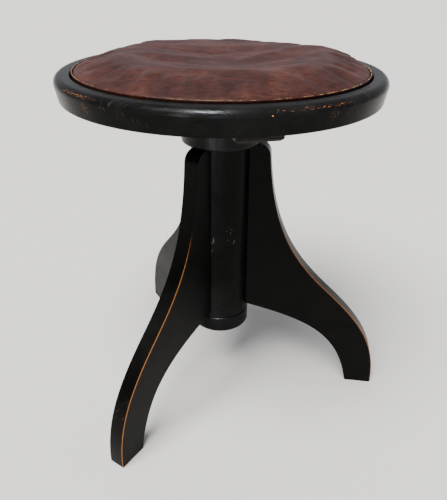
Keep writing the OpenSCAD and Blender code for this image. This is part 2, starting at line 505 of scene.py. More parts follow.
    def near(self, vector: Any, centre: Point, inner: float, outer: float) -> bpy.types.NodeSocket:
        """A soft round patch.

        Args:
            vector: the coordinates' socket.
            centre: the patch's middle.
            inner: distance up to which it is 1.
            outer: distance from which it is 0.

        Returns:
            The patch's socket.
        """
        node = self.add("VectorMath", operation="DISTANCE")
        self.join(vector, node.inputs[0])
        node.inputs[1].default_value = centre
        return self.span(node.outputs["Value"], inner, outer, 1.0, 0.0)

    def group(self, name: str, **inputs: Any) -> bpy.types.Node:
        """Place a shared shader group with its own values."""
        node = self.add("Group", node_tree=bpy.data.node_groups[name])
        return self.feed(node, **inputs)


def new_group(name: str, inputs: Sequence[tuple[str, str, float]], outputs: Sequence[tuple[str, str]]
              ) -> tuple[Graph, bpy.types.Node, bpy.types.Node]:
    """Start a shared shader group.

    Args:
        name: the group's name.
        inputs: name, kind and default of each input.
        outputs: name and kind of each output.

    Returns:
        The graph, its input node and its output node.
    """
    tree = bpy.data.node_groups.new(name, "ShaderNodeTree")
    for label, kind, default in inputs:
        socket = tree.interface.new_socket(name=label, in_out="INPUT", socket_type="NodeSocket" + kind)
        if kind == "Float":
            socket.default_value = default
    for label, kind in outputs:
        tree.interface.new_socket(name=label, in_out="OUTPUT", socket_type="NodeSocket" + kind)
    return Graph(tree), tree.nodes.new("NodeGroupInput"), tree.nodes.new("NodeGroupOutput")


class Effects:
    """Shader groups that more than one finish uses."""

    GRAIN = "wood_grain"
    WEAR = "worn_through"
    SCRATCHES = "scratches"
    SMUDGES = "smudges"
    UNDERCOAT: Colour = (0.024, 0.009, 0.004, 1)
    STAIN: Colour = (0.150, 0.050, 0.013, 1)
    BARE: Colour = (0.33, 0.135, 0.040, 1)

    @classmethod
    def build(cls) -> None:
        """Make every group once."""
        cls._grain()
        cls._wear()
        cls._scratches()
        cls._smudges()

    @classmethod
    def _grain(cls) -> None:
        """Long grain and pores along the local X axis."""
        g, into, out = new_group(cls.GRAIN, [("Vector", "Vector", 0)],
                                 [("Pores", "Float"), ("Figure", "Float")])
        where = into.outputs["Vector"]
        pores = g.noise(g.turned(where, scale=(45, 900, 900)), 1.0, 2.0, 0.6)
        g.join(g.span(pores, 0.42, 0.62), out.inputs["Pores"])
        g.join(g.noise(g.turned(where, scale=(6, 90, 90)), 1.0, 4.0, 0.6), out.inputs["Figure"])

    @classmethod
    def _wear(cls) -> None:
        """Polish worn through to brown stain and then to bare wood."""
        g, into, out = new_group(
            cls.WEAR, [("Vector", "Vector", 0), ("Exposure", "Float", 0), ("Scale", "Float", 160)],
            [("Mask", "Float"), ("Bare", "Color")])
        fine = g.noise(into.outputs["Vector"], into.outputs["Scale"], 4.0, 0.65)
        broad = g.noise(into.outputs["Vector"], 22.0, 2.0)
        chance = g.plus(g.times(fine, 0.82), g.times(broad, 0.18))
        depth = g.plus(chance, g.math("SUBTRACT", into.outputs["Exposure"], 1.0))
        g.join(g.span(depth, -0.02, 0.05), out.inputs["Mask"])
        stain = g.mix(g.span(depth, 0.0, 0.10), cls.UNDERCOAT, cls.STAIN)
        g.join(g.mix(g.span(depth, 0.12, 0.55), stain, cls.BARE), out.inputs["Bare"])

    @classmethod
    def _scratches(cls) -> None:
        """Fine straight scratches in three directions."""
        g, into, out = new_group(cls.SCRATCHES, [("Vector", "Vector", 0), ("Amount", "Float", 0)],
                                 [("Mask", "Float")])
        total: Any = 0.0
        for turn, size in (((20, 35, 68), 30), ((70, 10, 118), 42), ((10, 62, 65), 24)):
            lines = g.noise(g.turned(into.outputs["Vector"], turn, (size, size * 40, size * 3)), 1.0, 1.0)
            closer = g.plus(lines, g.times(into.outputs["Amount"], 0.05))
            total = g.math("MAXIMUM", total, g.span(closer, 0.718, 0.745))
        g.join(g.times(total, into.outputs["Amount"], True), out.inputs["Mask"])

    @classmethod
    def _smudges(cls) -> None:
        """Cloudy handling marks in the gloss."""
        g, into, out = new_group(cls.SMUDGES, [("Vector", "Vector", 0), ("Scale", "Float", 12)],
                                 [("Cloud", "Float")])
        cloud = g.noise(into.outputs["Vector"], into.outputs["Scale"], 5.0, 0.6, 0.6)
        g.join(g.span(cloud, 0.32, 0.7), out.inputs["Cloud"])


def new_material(name: str, tint: Colour) -> tuple[bpy.types.Material, Graph, bpy.types.Node]:
    """Start a material.

    Args:
        name: the material's name.
        tint: the colour that it shows in a plain view.

    Returns:
        The material, its graph and its shader.
    """
    material = bpy.data.materials.new(name)
    material.use_nodes = True
    material.diffuse_color = tint
    graph = Graph(material.node_tree)
    return material, graph, material.node_tree.nodes["Principled BSDF"]


@dataclass(frozen=True)
class Worn:
    """A place where the polish is worn.

    Attributes:
        centre: its middle.
        inner: distance up to which it is worn most.
        outer: distance at which the wear ends.
        depth: how far it is worn.
    """

    centre: Point
    inner: float
    outer: float
    depth: float

    def patch(self, g: Graph, where: bpy.types.NodeSocket) -> bpy.types.NodeSocket:
        """How far each point is worn by it."""
        return g.times(g.near(where, self.centre, self.inner, self.outer), self.depth)


@dataclass(frozen=True)
class BlackPolish:
    """Black polish over brown hardwood.

    Attributes:
        name: the material's name.
        grain_turn: turn that lays the grain along local X, in degrees.
        arris: how far marked arrises are worn through.
        rim_band: lowest and highest z of a band that is worn as an arris, or None.
        worn: places that are worn more.
        scratched: places with scratches.
        rough: the polish's roughness.
        scale: size of the chips; more is finer.
        lathe: radius of a turned piece, whose marks run round it, or 0.
        ior: refraction of the polish, which is less where it is dull.
        streak: how far the lathe's marks draw a highlight out.
    """

    name: str
    grain_turn: Point = (0, 90, 0)
    arris: float = 0.5
    rim_band: tuple[float, float] | None = None
    worn: tuple[Worn, ...] = ()
    scratched: tuple[Worn, ...] = ()
    rough: float = 0.3
    scale: float = 160.0
    lathe: float = 0.0
    ior: float = 1.2
    streak: float = 0.8

    POLISH: ClassVar[Colour] = (0.0014, 0.0013, 0.0012, 1)
    FADED: ClassVar[Colour] = (0.0040, 0.0037, 0.0034, 1)
    SCRATCH: ClassVar[Colour] = (0.12, 0.108, 0.088, 1)
    GLOSS: ClassVar[float] = 0.28
    STRETCH: ClassVar[float] = 3.4
    STRAY: ClassVar[float] = 0.015
    DEEP: ClassVar[float] = 0.3

    def material(self) -> bpy.types.Material:
        """Make the material.

        Returns:
            The finished material.
        """
        material, g, shader = new_material(self.name, self.POLISH)
        where = g.add("TexCoord").outputs["Object"]
        grain = g.group(Effects.GRAIN, Vector=g.turned(where, self.grain_turn))
        cloud = g.group(Effects.SMUDGES, Vector=where, Scale=14.0).outputs["Cloud"]
        exposure = self._exposure(g, where)
        along = g.rolled(where, self.lathe, self.STRETCH) if self.lathe else where
        wear = g.group(Effects.WEAR, Vector=along, Exposure=exposure, Scale=self.scale)
        amount: Any = self.STRAY
        for spot in self.scratched:
            amount = g.math("MAXIMUM", amount, spot.patch(g, where))
        lines = g.group(Effects.SCRATCHES, Vector=where, Amount=amount).outputs["Mask"]
        faded = g.times(g.times(cloud, grain.outputs["Figure"]), 1.3, True)
        scored = g.mix(lines, g.mix(faded, self.POLISH, self.FADED), self.SCRATCH)
        g.feed(shader, Base_Color=g.mix(wear.outputs["Mask"], scored, wear.outputs["Bare"]))
        sheen = g.plus(g.times(cloud, 0.13), self.rough)
        g.feed(shader, Roughness=g.plus(g.times(wear.outputs["Mask"], 0.3), sheen, True),
               IOR=self.ior, Specular_IOR_Level=self.GLOSS)
        if self.lathe:
            marks = g.add("Tangent", direction_type="RADIAL", axis="Z")
            g.feed(shader, Anisotropic=self.streak, Anisotropic_Rotation=0.25, Tangent=marks.outputs[0])
        relief = g.plus(g.times(grain.outputs["Pores"], 0.35), g.times(grain.outputs["Figure"], 0.5))
        sunk = g.math("SUBTRACT", relief, g.plus(wear.outputs["Mask"], lines))
        g.bump(shader, sunk, 0.22, 0.0006)
        return material

    def _exposure(self, g: Graph, where: bpy.types.NodeSocket) -> bpy.types.NodeSocket:
        """How much each point is rubbed, from 0 to about 1.

        Args:
            g: the material's graph.
            where: the coordinates' socket.

        Returns:
            The exposure's socket.
        """
        marks = g.add("Attribute", attribute_name=ARRIS)
        exposure = g.times(marks.outputs["Fac"], self.arris)
        if self.rim_band:
            low, high = self.rim_band
            middle = (low + high) / 2
            height = g.parts(where)[2]
            band = g.times(g.span(height, low, middle), g.span(height, middle, high, 1.0, 0.0))
            exposure = g.math("MAXIMUM", exposure, g.times(band, self.arris))
        for spot in self.worn:
            join = "MAXIMUM" if spot.depth > self.DEEP else "ADD"
            exposure = g.math(join, exposure, spot.patch(g, where))
        return exposure


@dataclass(frozen=True)
class StainedWood:
    """Stained or bare wood with no polish.

    Attributes:
        name: the material's name.
        light: its lighter colour.
        dark: the colour of its pores and darker figure.
        grain_turn: turn that lays the grain along local X, in degrees.
        rough: its roughness.
    """

    name: str
    light: Colour
    dark: Colour
    grain_turn: Point = (0, 0, 0)
    rough: float = 0.55

    def material(self) -> bpy.types.Material:
        """Make the material.

        Returns:
            The finished material.
        """
        material, g, shader = new_material(self.name, self.light)
        where = g.add("TexCoord").outputs["Object"]
        grain = g.group(Effects.GRAIN, Vector=g.turned(where, self.grain_turn))
        figured = g.mix(grain.outputs["Figure"], self.dark, self.light)
        g.feed(shader, Base_Color=g.mix(grain.outputs["Pores"], figured, self.dark))
        cloud = g.group(Effects.SMUDGES, Vector=where, Scale=20.0).outputs["Cloud"]
        g.feed(shader, Roughness=g.plus(g.times(cloud, 0.15), self.rough), Specular_IOR_Level=0.2)
        g.bump(shader, grain.outputs["Pores"], 0.3, 0.0008)
        return material


@dataclass(frozen=True)
class Iron:
    """Iron or steel, cast or turned, with oil and age.

    Attributes:
        name: the material's name.
        colour: the clean metal.
        stain: the metal where it is stained.
        rough: its roughness.
        metallic: how far it is bare metal.
        pitting: strength of its pits.
    """

    name: str
    colour: Colour
    stain: Colour
    rough: float
    metallic: float = 1.0
    pitting: float = 0.3

    def material(self) -> bpy.types.Material:
        """Make the material.

        Returns:
            The finished material.
        """
        material, g, shader = new_material(self.name, self.colour)
        where = g.add("TexCoord").outputs["Object"]
        cloud = g.group(Effects.SMUDGES, Vector=where, Scale=55.0).outputs["Cloud"]
        g.feed(shader, Base_Color=g.mix(g.times(cloud, 0.8), self.colour, self.stain),
               Metallic=self.metallic, Roughness=g.plus(g.times(cloud, 0.2), self.rough))
        g.bump(shader, g.noise(where, 900.0, 2.0), self.pitting, 0.0004)
        return material


@dataclass(frozen=True)
class Hide:
    """Old red-brown leather, polished by use and broken along its edge.

    Attributes:
        name: the material's name.
        edge_radius: distance of the pad's upper edge from the axis.
        edge_height: height of that edge.
    """

    name: str
    edge_radius: float
    edge_height: float

    DARK: ClassVar[Colour] = (0.017, 0.0056, 0.0044, 1)
    MIDDLE: ClassVar[Colour] = (0.048, 0.0118, 0.0075, 1)
    RED: ClassVar[Colour] = (0.104, 0.0265, 0.0145, 1)
    CRACKED: ClassVar[Colour] = (0.52, 0.30, 0.11, 1)
    # Painted shade: near-black brown for the leather below the pad's upper edge, standing in for the shade
    # in the gap inside the seat's rim.
    GAP_SHADE: ClassVar[Colour] = (0.004, 0.0024, 0.002, 1)

    def material(self) -> bpy.types.Material:
        """Make the material.

        Returns:
            The finished material.
        """
        material, g, shader = new_material(self.name, self.MIDDLE)
        where = g.add("TexCoord").outputs["Object"]
        x, y, height = g.parts(where)
        strokes = g.noise(g.turned(where, (0, 0, -58), (1, 5.0, 1)), 115.0, 3.0, 0.6)
        clouds = g.noise(where, 24.0, 5.0, 0.6)
        blotch = g.plus(g.times(strokes, 0.55), g.times(clouds, 0.45))
        ground = g.mix(g.span(blotch, 0.36, 0.50), self.DARK, self.MIDDLE)
        rubbed = g.mix(g.span(blotch, 0.49, 0.64), ground, self.RED)
        cells = g.add("TexVoronoi", feature="DISTANCE_TO_EDGE")
        g.feed(cells, Vector=where, Scale=520.0)
        pores = g.span(cells.outputs["Distance"], 0.0, 0.16)
        grained = g.mix(g.span(pores, 0.0, 1.0, 0.40, 0.0), rubbed, self.DARK)
        # Painted shade: leather more than about 2.6 mm below the upper edge (the skirt seen in the thin gap
        # inside the seat's rim) is mixed 85% towards near black, standing in for shade.
        below = g.span(height, self.edge_height - 2.6 * MM, self.edge_height - 0.9 * MM, 0.85, 0.0)
        gap_shaded = g.mix(below, grained, self.GAP_SHADE)
        crack = self._crack(g, where, g.reach(x, y), x, height)
        worn = g.span(clouds, 0.3, 0.7, 0.50, 0.40)
        g.feed(shader, Base_Color=g.mix(crack, gap_shaded, self.CRACKED),
               Roughness=g.plus(worn, g.times(crack, 0.2)), IOR=1.33, Specular_IOR_Level=0.42)
        wrinkles = g.noise(g.turned(where, (0, 0, 24), (1, 3.2, 1)), 60.0, 4.0, 0.6)
        relief = g.plus(g.times(pores, 0.30), g.times(strokes, 0.8))
        whole = g.plus(relief, g.times(wrinkles, 1.1))
        g.bump(shader, g.math("SUBTRACT", whole, g.times(crack, 0.5)), 0.35, 0.0012)
        return material

    def _crack(self, g: Graph, where: bpy.types.NodeSocket, reach: bpy.types.NodeSocket,
               across: bpy.types.NodeSocket, height: bpy.types.NodeSocket) -> bpy.types.NodeSocket:
        """The broken pale line along the pad's upper edge, fainter on the -X side.

        Args:
            g: the material's graph.
            where: the coordinates' socket.
            reach: distance from the axis.
            across: the X coordinate.
            height: the Z coordinate.

        Returns:
            The line's socket.
        """
        off = g.math("ABSOLUTE", g.math("SUBTRACT", reach, self.edge_radius))
        line = g.span(off, 0.2 * MM, 0.55 * MM, 1.0, 0.0)
        top = g.span(height, self.edge_height - 1.5 * MM, self.edge_height - 0.5 * MM)
        patchy = g.plus(g.noise(where, 105.0, 3.0, 0.7), g.times(g.noise(where, 9.0, 1.0), 0.25))
        kept = g.times(g.span(patchy, 0.60, 0.70), g.span(across, -0.10, 0.08, 0.55, 1.0))
        return g.times(g.times(line, top), kept)


# ---- the stool's sub-assemblies ------------------------------------------------------


@dataclass
class Stand:
    """The turned column with its cap and the three sawn legs.

    Attributes:
        leg_break: rounding of a leg's arrises.
        leg_line: how far a leg's worn arris is worn through.
        leg_faint: the same for the arrises that are less rubbed.
        leg_low: height above which a leg's arris is worn.
        leg_high: height up to which it is worn.
        leg_fade: length over which that wear fades out.
        scratch_place: middle of the scratches on the column.
        scuff_reach: distance of the left leg's scuffs from the axis.
        scuff_height: their height.
    """

    leg_break: float = 0.75 * MM
    leg_line: float = 0.98
    leg_faint: float = 0.40
    leg_low: float = 2 * MM
    leg_high: float = 0.285
    leg_fade: float = 0.07
    scratch_place: Point = (0.002, -0.039, 0.240)
    scuff_reach: float = 0.215
    scuff_height: float = 0.078

    def build(self) -> None:
        """Model and dress every wooden piece of the stand."""
        self._column()
        self._cap()
        self._leg("leg_right", "foot_right", worn_side=-1)
        self._leg("leg_left", "foot_left", worn_side=1, scuff=True)
        self._leg("leg_rear", "foot_rear", worn_side=1)

    def _column(self) -> None:
        """The column, with its scored line and a few scratches in front."""
        piece = Bench.from_design("column", "turned_column")
        Bench.shade(piece)
        scratched = Worn(self.scratch_place, 10 * MM, 28 * MM, 0.70)
        finish = BlackPolish("column_polish", rough=0.22, lathe=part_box("column")[1].x, ior=1.17,
                             scratched=(scratched,))
        dress(piece, finish.material())
        place(piece, Body.BASE, Slot.BLACK_WOOD, "column")

    def _cap(self) -> None:
        """The wider cap on top of the column."""
        piece = Bench.from_design("column_cap", "turned_cap")
        Bench.shade(piece)
        finish = BlackPolish("cap_polish", rough=0.31, lathe=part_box("column_cap")[1].x, ior=1.32)
        dress(piece, finish.material())
        place(piece, Body.BASE, Slot.BLACK_WOOD, "column_cap")

    def _leg(self, node: str, foot: str, worn_side: int, scuff: bool = False) -> None:
        """One leg.

        Args:
            node: its part in the design.
            foot: the mount under its foot, which says where it points.
            worn_side: 1 if its left arris, seen from the column, is rubbed most, or -1.
            scuff: whether its outer face is scuffed above the foot.
        """
        mount = next(m for m in frame["record"]["mounts"] if m["name"] == foot)
        along = Vector((mount["pos_m"][0], mount["pos_m"][1], 0)).normalized()
        across = Vector((-along.y, along.x, 0)) * worn_side
        piece = Bench.from_design(node, node.replace("leg_", "sawn_leg_"))
        Bench.break_edges(piece, self.leg_break)
        self._rub(piece, along, across)
        Bench.shade(piece)
        lean = math.degrees(math.atan2(along.y, along.x))
        spots: tuple[Worn, ...] = ()
        if scuff:
            middle = along * self.scuff_reach + Vector((0, 0, self.scuff_height))
            spots = (Worn(tuple(middle), 10 * MM, 26 * MM, 0.32),)
        finish = BlackPolish(node + "_polish", grain_turn=(0, 62, -lean), arris=1.0, rough=0.3,
                             scratched=spots, scale=230.0)
        dress(piece, finish.material())
        place(piece, Body.BASE, Slot.BLACK_WOOD, node)

    def _rub(self, piece: bpy.types.Object, along: Vector, across: Vector) -> None:
        """Set how far each arris face of a leg is worn.

        Args:
            piece: the leg.
            along: level direction in which it points.
            across: level direction of its most rubbed side.
        """
        marks = piece.data.attributes[ARRIS].data
        for face in piece.data.polygons:
            if marks[face.index].value == 0.0:
                continue
            outward = face.normal.dot(along) + 0.55 * face.normal.z
            side = face.normal.dot(across)
            reach = smooth(self.leg_low, 3 * self.leg_low, face.center.z)
            reach *= smooth(self.leg_high, self.leg_high - self.leg_fade, face.center.z)
            wear = self.leg_faint * (0.35 + 0.65 * reach)
            if outward > 0.2 and side > 0.2:
                wear = self.leg_faint + (self.leg_line - self.leg_faint) * reach
            marks[face.index].value = wear


@dataclass
class Lift:
    """The ironwork that carries and raises the seat.

    Attributes:
        pitch: rise of one turn of the thread.
        depth: depth of the thread.
        around: faces round the spindle.
        per_turn: rows of faces on each turn of the thread.
        flank: shares of a turn at which the thread's flank starts and ends.
        neck_radius: radius of the neck in the plate.
    """

    SCREWS: ClassVar[tuple[str, ...]] = (
        "stop_screw", "plate_screws", "nut_screws", "batten_screws", "cap_screws", "pad_screws",
        "leather_tacks")

    pitch: float = 6 * MM
    depth: float = 1.7 * MM
    around: int = 48
    per_turn: int = 8
    flank: Flat = (0.10, 0.34)
    neck_radius: float = 9 * MM

    def build(self) -> None:
        """Model and dress the ironwork."""
        cast = Iron("cast_iron_black", (0.055, 0.052, 0.050, 1), (0.10, 0.055, 0.032, 1), 0.5, 0.85, 0.5)
        oiled = Iron("oiled_steel", (0.30, 0.285, 0.265, 1), (0.12, 0.088, 0.06, 1), 0.28, 1.0, 0.12)
        dull = Iron("dull_steel", (0.20, 0.185, 0.17, 1), (0.09, 0.055, 0.035, 1), 0.42, 1.0, 0.3)
        self._cast(cast, "spindle_plate", "iron_plate", Body.SEAT, 0.8 * MM, 3)
        self._cast(cast, "spindle_nut", "iron_nut", Body.BASE, 0.3 * MM, 2)
        self._spindle(oiled)
        dress(frame["nodes"]["stop_washer"], oiled.material())
        screw = dull.material()
        for node in self.SCREWS:
            dress(frame["nodes"][node], screw)

    @staticmethod
    def _cast(cast: Iron, node: str, name: str, body: Body, width: float, rows: int) -> None:
        """A cast piece with its edges broken.

        Args:
            cast: its finish.
            node: its part in the design.
            name: its name.
            body: what it moves with.
            width: rounding of its edges.
            rows: rows of faces across the rounding.
        """
        piece = Bench.from_design(node, name)
        Bench.break_edges(piece, width, rows=rows)
        Bench.shade(piece)
        dress(piece, cast.material())
        place(piece, body, Slot.CAST_IRON, node)

    def _spindle(self, oiled: Iron) -> None:
        """The spindle with its right-hand thread.

        Args:
            oiled: its finish.
        """
        low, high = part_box("spindle")
        crest = high.x
        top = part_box("spindle_plate")[0].z
        length = top - low.z
        rows = round(length / self.pitch * self.per_turn)
        Bench.clear()
        bpy.ops.mesh.primitive_grid_add(x_subdivisions=self.around, y_subdivisions=rows, size=1.0)
        piece = Bench.added("threaded_spindle")
        for vertex in piece.data.vertices:
            share, rise = vertex.co.x + 0.5, (vertex.co.y + 0.5) * length
            phase = (rise / self.pitch - share) % 1.0
            form = smooth(*self.flank, phase) * smooth(*self.flank, 1 - phase)
            run_out = min(smooth(0, self.pitch, rise), smooth(length, length - self.pitch, rise))
            radius = crest - self.depth * (1 - form * run_out)
            vertex.co = heading(360 * share) * radius + Vector((0, 0, low.z + rise))
        Bench.hold(piece)
        Bench.edit()
        Bench.whole()
        bpy.ops.mesh.remove_doubles(threshold=MERGED)
        bpy.ops.mesh.select_all(action="DESELECT")
        bpy.ops.mesh.select_non_manifold()
        bpy.ops.mesh.edge_face_add()
        Bench.whole()
        bpy.ops.mesh.normals_make_consistent(inside=False)
        Bench.done()
        self._neck(piece, top, high.z)
        Bench.shade(piece, 50)
        dress(piece, oiled.material())
        place(piece, Body.SEAT, Slot.SPINDLE_STEEL, "spindle")

    def _neck(self, piece: bpy.types.Object, shoulder: float, top: float) -> None:
        """Draw the spindle's upper end in to the neck that is riveted in the plate.

        Args:
            piece: the spindle.
            shoulder: height of the shoulder under the plate.
            top: height of the neck's end.
        """
        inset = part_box("spindle")[1].x - self.depth - self.neck_radius
        Bench.hold(piece)
        Bench.pick(piece, lambda face: face.normal.z > 0.99 and face.center.z > shoulder - MM)
        bpy.ops.mesh.inset(thickness=inset)
        bpy.ops.mesh.extrude_region_move(TRANSFORM_OT_translate={"value": (0, 0, top - shoulder)})
        Bench.done()


@dataclass
class Seat:
    """The turned seat, the batten under it and the board of the pad.

    Attributes:
        worn_band: how far below and above the rim its edge is rubbed.
        batten_break: rounding of the batten's edges.
    """

    worn_band: Flat = (9 * MM, 2 * MM)
    batten_break: float = 0.9 * MM

    def build(self) -> None:
        """Model and dress the seat's wood."""
        self._ring()
        self._batten()
        board = StainedWood("bare_board", (0.52, 0.36, 0.20, 1), (0.34, 0.21, 0.10, 1))
        dress(frame["nodes"]["pad_board"], board.material())

    def _ring(self) -> None:
        """The turned seat with its worn upper edge."""
        piece = Bench.from_design("seat_dish", "turned_seat")
        Bench.shade(piece)
        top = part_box("seat_dish")[1].z
        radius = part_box("seat_dish")[1].x

        def spot(turn: float, down: float, inner: float, outer: float, depth: float) -> Worn:
            """A rubbed place on the edge, at an azimuth in degrees and millimetres below the top."""
            middle = heading(turn) * radius + Vector((0, 0, top - down * MM))
            return Worn(tuple(middle), inner * MM, outer * MM, depth)

        finish = BlackPolish(
            "seat_polish", grain_turn=(0, 0, 12), arris=0.375, rough=0.17, scale=1100.0, lathe=radius,
            ior=1.15, streak=0.6, rim_band=(top - self.worn_band[0], top + self.worn_band[1]),
            worn=(spot(-137, 4, 18, 56, 0.090), spot(-64, 4, 24, 66, 0.085),
                  spot(-76.5, 7, 0.5, 1.9, 0.62), spot(-133, 14, 5, 15, 0.44),
                  spot(-125, 8, 3, 12, 0.41), spot(-57, 13, 5, 13, 0.42)),
            scratched=(spot(-45, 10, 10, 45, 0.10), spot(-118, 12, 10, 45, 0.09)))
        dress(piece, finish.material())
        place(piece, Body.SEAT, Slot.BLACK_WOOD, "seat_dish")

    def _batten(self) -> None:
        """The red-brown batten across the seat's underside."""
        piece = Bench.from_design("batten", "seat_batten")
        Bench.break_edges(piece, self.batten_break)
        Bench.shade(piece)
        stain = StainedWood("batten_stain", (0.011, 0.0062, 0.0042, 1), (0.005, 0.0032, 0.0024, 1),
                            (0, 0, 76), 0.5)
        dress(piece, stain.material())
        place(piece, Body.SEAT, Slot.BATTEN_WOOD, "batten")


@dataclass(frozen=True)
class Fold:
    """A fold in the pad's leather.

    Attributes:
        line: points that it runs through, seen from above.
        rise: its height, or its depth if below 0.
        width: how wide it is.
    """

    line: tuple[Flat, ...]
    rise: float
    width: float

    def press(self, points: np.ndarray) -> np.ndarray:
        """The rise that it gives.

        Args:
            points: points seen from above, one a row.

        Returns:
            The rise at each point, which tapers off at both ends of the line.
        """
        off, share = distance_to_line(points, rounded_line(self.line))
        ends = np.sin(np.pi * np.clip(share, 0.02, 0.98)) ** 0.6
        return self.rise * ends * np.exp(-(off / self.width) ** 2)


@dataclass(frozen=True)
class Swell:
    """A broad rise or hollow in the pad.

    Attributes:
        centre: its middle, seen from above.
        rise: its height, or its depth if below 0.
        radius: how broad it is.
    """

    centre: Flat
    rise: float
    radius: float

    def press(self, points: np.ndarray) -> np.ndarray:
        """The rise that it gives at each point, seen from above."""
        off = np.hypot(points[:, 0] - self.centre[0], points[:, 1] - self.centre[1])
        return self.rise * np.exp(-(off / self.radius) ** 2)


@dataclass
class Pad:
    """The leather pad, sat in and creased by use.

    Attributes:
        proud: how far its upper edge stands above the seat's rim.
        welt: radius of the pinched line along that edge.
        skin: thickness of the leather.
        voxel: size of the remeshed faces.
        swell_cap: how far the cloth may move a point.
        rises: steps in and up from the edge to the flat of the crown.
        swells: broad rises and hollows.
        shoulders: the same close to the edge.
        folds: folds and creases.
        sides: faces round the crown before it is remeshed.
        held_below: depth below the edge from which the leather is held as it swells.
        held_edge: width of the border that is held.
        fade: width over which the swells and folds come in from the edge.
        mass: the cloth's mass at a point.
        slack: how far the cloth may grow, as a share.
        pressure: how hard the filling presses on the leather.
        frames: how long it is left to swell.
        hem_reach: width of the leather under the board.
        radius: the pad's radius, from the design as the next three are.
        hem: height of the leather's lower side.
        edge: height of the pad's upper edge.
        floor: height of the board's top.
    """

    proud: float = 2.2 * MM
    welt: float = 0.8 * MM
    skin: float = 2 * MM
    voxel: float = 4.2 * MM
    swell_cap: float = 3.4 * MM
    rises: tuple[Flat, ...] = (
        (8 * MM, 5.5 * MM), (14 * MM, 4.0 * MM), (28 * MM, 2.0 * MM), (40 * MM, 0.3 * MM))
    swells: tuple[Swell, ...] = (
        Swell((-0.045, 0.080), 0.6 * MM, 0.060),
        Swell((0.115, 0.050), 1.0 * MM, 0.045),
        Swell((0.000, -0.035), -5.5 * MM, 0.072),
        Swell((0.020, 0.020), -2.5 * MM, 0.050),
    )
    shoulders: tuple[Swell, ...] = (
        Swell((0.158, 0.050), 5.2 * MM, 0.034),
        Swell((-0.100, 0.120), 1.2 * MM, 0.040),
        Swell((0.080, 0.145), -1.0 * MM, 0.060),
        Swell((0.000, 0.155), -0.8 * MM, 0.050),
    )
    folds: tuple[Fold, ...] = (
        Fold(((-0.152, 0.022), (-0.115, -0.015), (-0.085, -0.058), (-0.048, -0.095), (0.000, -0.110),
              (0.048, -0.104), (0.085, -0.075), (0.112, -0.025), (0.132, 0.015)), 3.0 * MM, 14 * MM),
        Fold(((-0.108, 0.005), (-0.070, -0.010), (-0.035, -0.012), (0.000, 0.005)), 1.8 * MM, 10 * MM),
        Fold(((-0.100, -0.018), (-0.062, -0.035), (-0.025, -0.042), (0.012, -0.034)), -1.6 * MM, 9 * MM),
        Fold(((0.125, 0.055), (0.080, 0.032), (0.045, 0.005), (0.020, -0.014)), 2.3 * MM, 11 * MM),
        Fold(((0.128, 0.028), (0.100, -0.004), (0.078, -0.036), (0.048, -0.056), (0.015, -0.060)),
             1.8 * MM, 10 * MM),
        Fold(((0.112, 0.022), (0.082, -0.006), (0.052, -0.026), (0.025, -0.034)), -1.8 * MM, 9 * MM),
        Fold(((-0.085, 0.038), (-0.045, 0.026), (0.000, 0.028), (0.040, 0.042)), -1.7 * MM, 9 * MM),
        Fold(((-0.095, 0.062), (-0.050, 0.053), (-0.005, 0.056), (0.045, 0.072)), 1.5 * MM, 9 * MM),
        Fold(((-0.040, -0.140), (-0.024, -0.125), (-0.014, -0.100)), -0.9 * MM, 8 * MM),
        Fold(((0.072, -0.125), (0.066, -0.105), (0.050, -0.085)), -0.9 * MM, 8 * MM),
    )
    sides: int = 128
    held_below: float = 4 * MM
    held_edge: float = 6 * MM
    fade: float = 34 * MM
    mass: float = 0.4
    slack: float = 0.02
    pressure: float = 4.0
    frames: int = 20
    hem_reach: float = 32 * MM
    radius: float = field(init=False)
    hem: float = field(init=False)
    edge: float = field(init=False)
    floor: float = field(init=False)

    def __post_init__(self) -> None:
        """Read the sizes that the design gives."""
        low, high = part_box("pad_leather")
        self.radius = high.x
        self.hem = low.z
        self.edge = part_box("seat_dish")[1].z + self.proud
        self.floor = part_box("pad_board")[1].z

    def build(self) -> None:
        """Model and dress the pad."""
        hide = Hide("red_brown_hide", self.radius - self.welt, self.edge).material()
        self._cushion(hide)
        self._skirt(hide)

    def _cushion(self, hide: bpy.types.Material) -> None:
        """The stuffed crown of the pad.

        Args:
            hide: its leather.
        """
        Bench.clear()
        depth = self.edge - self.welt - self.floor
        bpy.ops.mesh.primitive_cylinder_add(
            vertices=self.sides, radius=self.radius - self.welt, depth=depth,
            location=(0, 0, self.floor + depth / 2))
        piece = Bench.added("pad_cushion")
        Bench.settle(piece)
        Bench.pick(piece, lambda face: face.normal.z > 0.9)
        bpy.ops.mesh.inset(thickness=2 * self.welt)
        for inward, upward in self.rises:
            bpy.ops.mesh.inset(thickness=inward)
            bpy.ops.transform.translate(value=(0, 0, upward))
        Bench.done()
        Bench.apply(piece, "REMESH", mode="VOXEL", voxel_size=self.voxel)
        self._inflate(piece)
        Bench.apply(piece, "SUBSURF", levels=1, render_levels=1)
        self._sculpt(piece)
        Bench.hold(piece)
        bpy.ops.object.shade_smooth()
        dress(piece, hide)
        place(piece, Body.SEAT, Slot.LEATHER, "pad_leather", "pad_stuffing")

